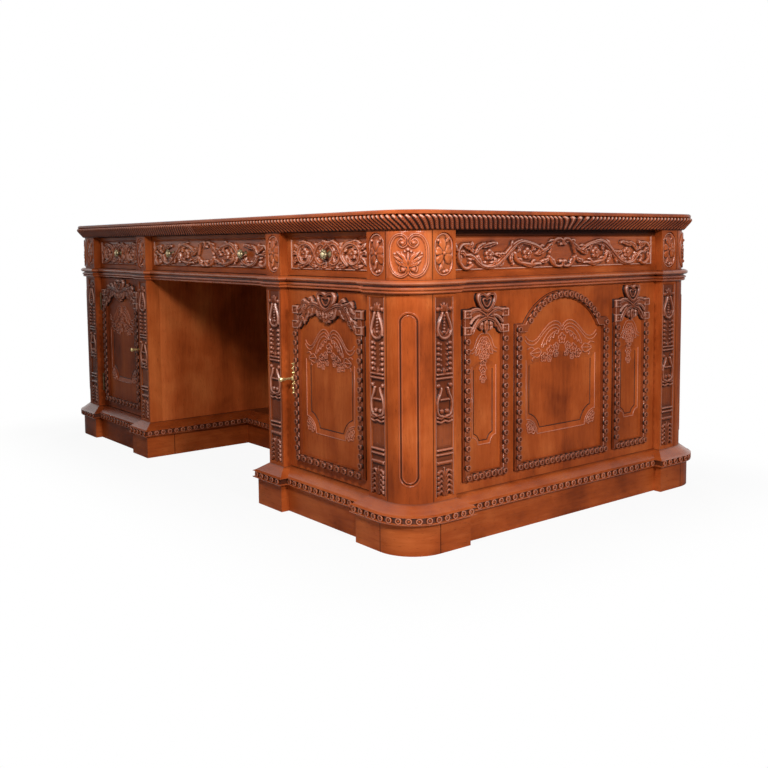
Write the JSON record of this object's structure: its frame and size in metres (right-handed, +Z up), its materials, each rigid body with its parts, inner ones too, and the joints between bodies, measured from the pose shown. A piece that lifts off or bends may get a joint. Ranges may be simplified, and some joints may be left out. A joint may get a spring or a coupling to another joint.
{
  "type": "captains desk",
  "caption": "Large carved double-pedestal desk with rounded corner columns, drawers in the frieze, panelled cupboard doors and a kneehole with a raised cross plinth.",
  "frame": {"origin": "middle of the plinth's footprint, on the floor", "axes": "+X to the right as seen from the front with the drawers and doors, -Y out of that front, +Z up"},
  "size_m": [2.062, 1.172, 0.8],
  "materials": {
    "mahogany": "glossy lacquer over a dark glaze",
    "inner_wood": "thin satin lacquer",
    "antique_brass": "darkened, polished on the high spots",
    "polished_brass": "polished"
  },
  "bodies": {
    "carcass": {"back_columns": "mahogany", "back_frames": "mahogany", "back_frieze_blocks": "mahogany", "back_frieze_panels": "mahogany", "back_pilasters": "mahogany", "centre_back_board": "mahogany", "drawer_deck": "inner_wood", "drawer_dividers": "inner_wood", "drawer_runners": "inner_wood", "drawer_stops": "inner_wood", "end_frieze_blocks": "mahogany", "end_pilasters": "mahogany", "fixed_hinges": "polished_brass", "frieze_corners": "mahogany", "front_columns": "mahogany", "front_frieze_blocks": "mahogany", "front_pilasters": "mahogany", "gadroon_moulding": "mahogany", "kneehole_platform": "mahogany", "left_back_board": "mahogany", "left_cupboard_back": "inner_wood", "left_end_board": "mahogany", "left_end_frames": "mahogany", "left_frieze_panel": "mahogany", "left_inner_side": "mahogany", "left_pedestal_floor": "inner_wood", "left_shelf": "inner_wood", "plinth_cap": "mahogany", "plinth_skirting": "mahogany", "right_back_board": "mahogany", "right_cupboard_back": "inner_wood", "right_end_board": "mahogany", "right_end_frames": "mahogany", "right_frieze_panel": "mahogany", "right_inner_side": "mahogany", "right_pedestal_floor": "inner_wood", "right_shelf": "inner_wood", "shelf_cleats": "inner_wood", "sub_top": "inner_wood", "top_panel": "mahogany", "waist_moulding": "mahogany"},
    "left_drawer": {"left_drawer_box": "inner_wood", "left_drawer_front": "mahogany", "left_drawer_knobs": "antique_brass"},
    "centre_drawer": {"centre_drawer_box": "inner_wood", "centre_drawer_front": "mahogany", "centre_drawer_knobs": "antique_brass"},
    "right_drawer": {"right_drawer_box": "inner_wood", "right_drawer_front": "mahogany", "right_drawer_knobs": "antique_brass"},
    "left_door": {"left_door": "mahogany", "left_door_frame": "mahogany", "left_door_hinges": "polished_brass", "left_escutcheon": "polished_brass"},
    "right_door": {"right_door": "mahogany", "right_door_frame": "mahogany", "right_door_hinges": "polished_brass", "right_escutcheon": "polished_brass"},
    "left_handle": {"left_handle": "polished_brass"},
    "right_handle": {"right_handle": "polished_brass"}
  },
  "joints": [
    {"name": "left_drawer_slide", "type": "slide", "parent": "carcass", "child": "left_drawer", "axis": [0, -1, 0], "range_m": [0, 0.35]},
    {"name": "centre_drawer_slide", "type": "slide", "parent": "carcass", "child": "centre_drawer", "axis": [0, -1, 0], "range_m": [0, 0.35]},
    {"name": "right_drawer_slide", "type": "slide", "parent": "carcass", "child": "right_drawer", "axis": [0, -1, 0], "range_m": [0, 0.35]},
    {"name": "left_door_hinge", "type": "hinge", "parent": "carcass", "child": "left_door", "pos_m": [-0.8423, -0.5297, 0.362], "axis": [0, 0, -1], "range_deg": [0, 95]},
    {"name": "left_handle_turn", "type": "hinge", "parent": "left_door", "child": "left_handle", "pos_m": [-0.484, -0.526, 0.362], "axis": [0, 1, 0], "range_deg": [0, 90]},
    {"name": "right_door_hinge", "type": "hinge", "parent": "carcass", "child": "right_door", "pos_m": [0.8423, -0.5297, 0.362], "axis": [0, 0, 1], "range_deg": [0, 95]},
    {"name": "right_handle_turn", "type": "hinge", "parent": "right_door", "child": "right_handle", "pos_m": [0.484, -0.526, 0.362], "axis": [0, -1, 0], "range_deg": [0, 90]}
  ]
}
